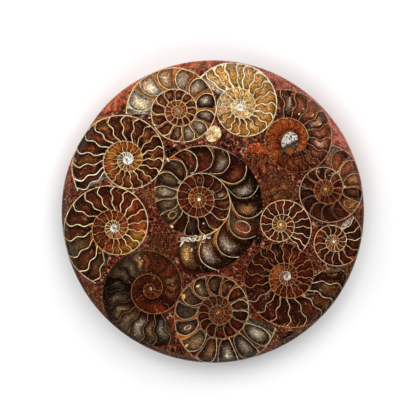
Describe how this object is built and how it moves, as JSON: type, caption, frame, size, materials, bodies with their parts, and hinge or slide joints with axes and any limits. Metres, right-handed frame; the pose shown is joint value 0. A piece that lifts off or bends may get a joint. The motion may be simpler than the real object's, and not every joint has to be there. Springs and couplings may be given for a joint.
{
  "type": "fossil ammonite plate",
  "caption": "Round polished slab of red-brown stone with sawn spiral ammonites and bits of shell set flush in its face; lies flat on its back.",
  "frame": {"origin": "centre of the flat back, which rests on the surface", "axes": "+Z out of the polished face, +X to the right and +Y up as the face is looked at"},
  "size_m": [0.145, 0.145, 0.016],
  "materials": {
    "top_left_ammonite": "polished fossil shell with mineral-filled chambers",
    "top_ammonite": "polished fossil shell with mineral-filled chambers",
    "upper_right_ammonite": "polished fossil shell with mineral-filled chambers",
    "left_ammonite": "polished fossil shell with mineral-filled chambers",
    "upper_left_ammonite": "polished fossil shell with mineral-filled chambers",
    "small_inner_ammonite": "polished fossil shell with mineral-filled chambers",
    "right_ammonite": "polished fossil shell with mineral-filled chambers",
    "lower_right_ammonite": "polished fossil shell with mineral-filled chambers",
    "lower_left_ammonite": "polished fossil shell with mineral-filled chambers",
    "bottom_ammonite": "polished fossil shell with mineral-filled chambers",
    "large_centre_ammonite": "polished fossil shell with mineral-filled chambers",
    "small_right_ammonite": "polished fossil shell with mineral-filled chambers",
    "cream_pebble": "polished fragment, flush with the face",
    "smooth_shell_fragment": "polished fragment, flush with the face",
    "veined_shell_fragment": "polished fragment, flush with the face",
    "orange_shell_fragment": "polished fragment, flush with the face",
    "holed_shell_fragment": "polished fragment, flush with the face",
    "streaked_shell_fragment": "polished fragment, flush with the face",
    "ribbed_shell_fragment": "polished fragment, flush with the face",
    "dark_polygon_chip": "polished fragment, flush with the face",
    "dark_chip_by_pebble": "polished fragment, flush with the face",
    "dark_chip_below_pebble": "polished fragment, flush with the face",
    "dark_chip_near_centre": "polished fragment, flush with the face",
    "slate_sliver": "polished fragment, flush with the face",
    "bottom_shell_fragment": "polished fragment, flush with the face",
    "bottom_round_chip": "polished fragment, flush with the face",
    "dark_shell_fragment": "polished fragment, flush with the face",
    "black_chip": "polished fragment, flush with the face",
    "top_shell_sliver": "polished fragment, flush with the face",
    "stone_matrix": "polished red-brown jasper-like stone"
  },
  "bodies": {
    "root": {"top_left_ammonite": "top_left_ammonite", "top_ammonite": "top_ammonite", "upper_right_ammonite": "upper_right_ammonite", "left_ammonite": "left_ammonite", "upper_left_ammonite": "upper_left_ammonite", "small_inner_ammonite": "small_inner_ammonite", "right_ammonite": "right_ammonite", "lower_right_ammonite": "lower_right_ammonite", "lower_left_ammonite": "lower_left_ammonite", "bottom_ammonite": "bottom_ammonite", "large_centre_ammonite": "large_centre_ammonite", "small_right_ammonite": "small_right_ammonite", "cream_pebble": "cream_pebble", "smooth_shell_fragment": "smooth_shell_fragment", "veined_shell_fragment": "veined_shell_fragment", "orange_shell_fragment": "orange_shell_fragment", "holed_shell_fragment": "holed_shell_fragment", "streaked_shell_fragment": "streaked_shell_fragment", "ribbed_shell_fragment": "ribbed_shell_fragment", "dark_polygon_chip": "dark_polygon_chip", "dark_chip_by_pebble": "dark_chip_by_pebble", "dark_chip_below_pebble": "dark_chip_below_pebble", "dark_chip_near_centre": "dark_chip_near_centre", "slate_sliver": "slate_sliver", "bottom_shell_fragment": "bottom_shell_fragment", "bottom_round_chip": "bottom_round_chip", "dark_shell_fragment": "dark_shell_fragment", "black_chip": "black_chip", "top_shell_sliver": "top_shell_sliver", "stone_matrix": "stone_matrix"}
  },
  "joints": []
}
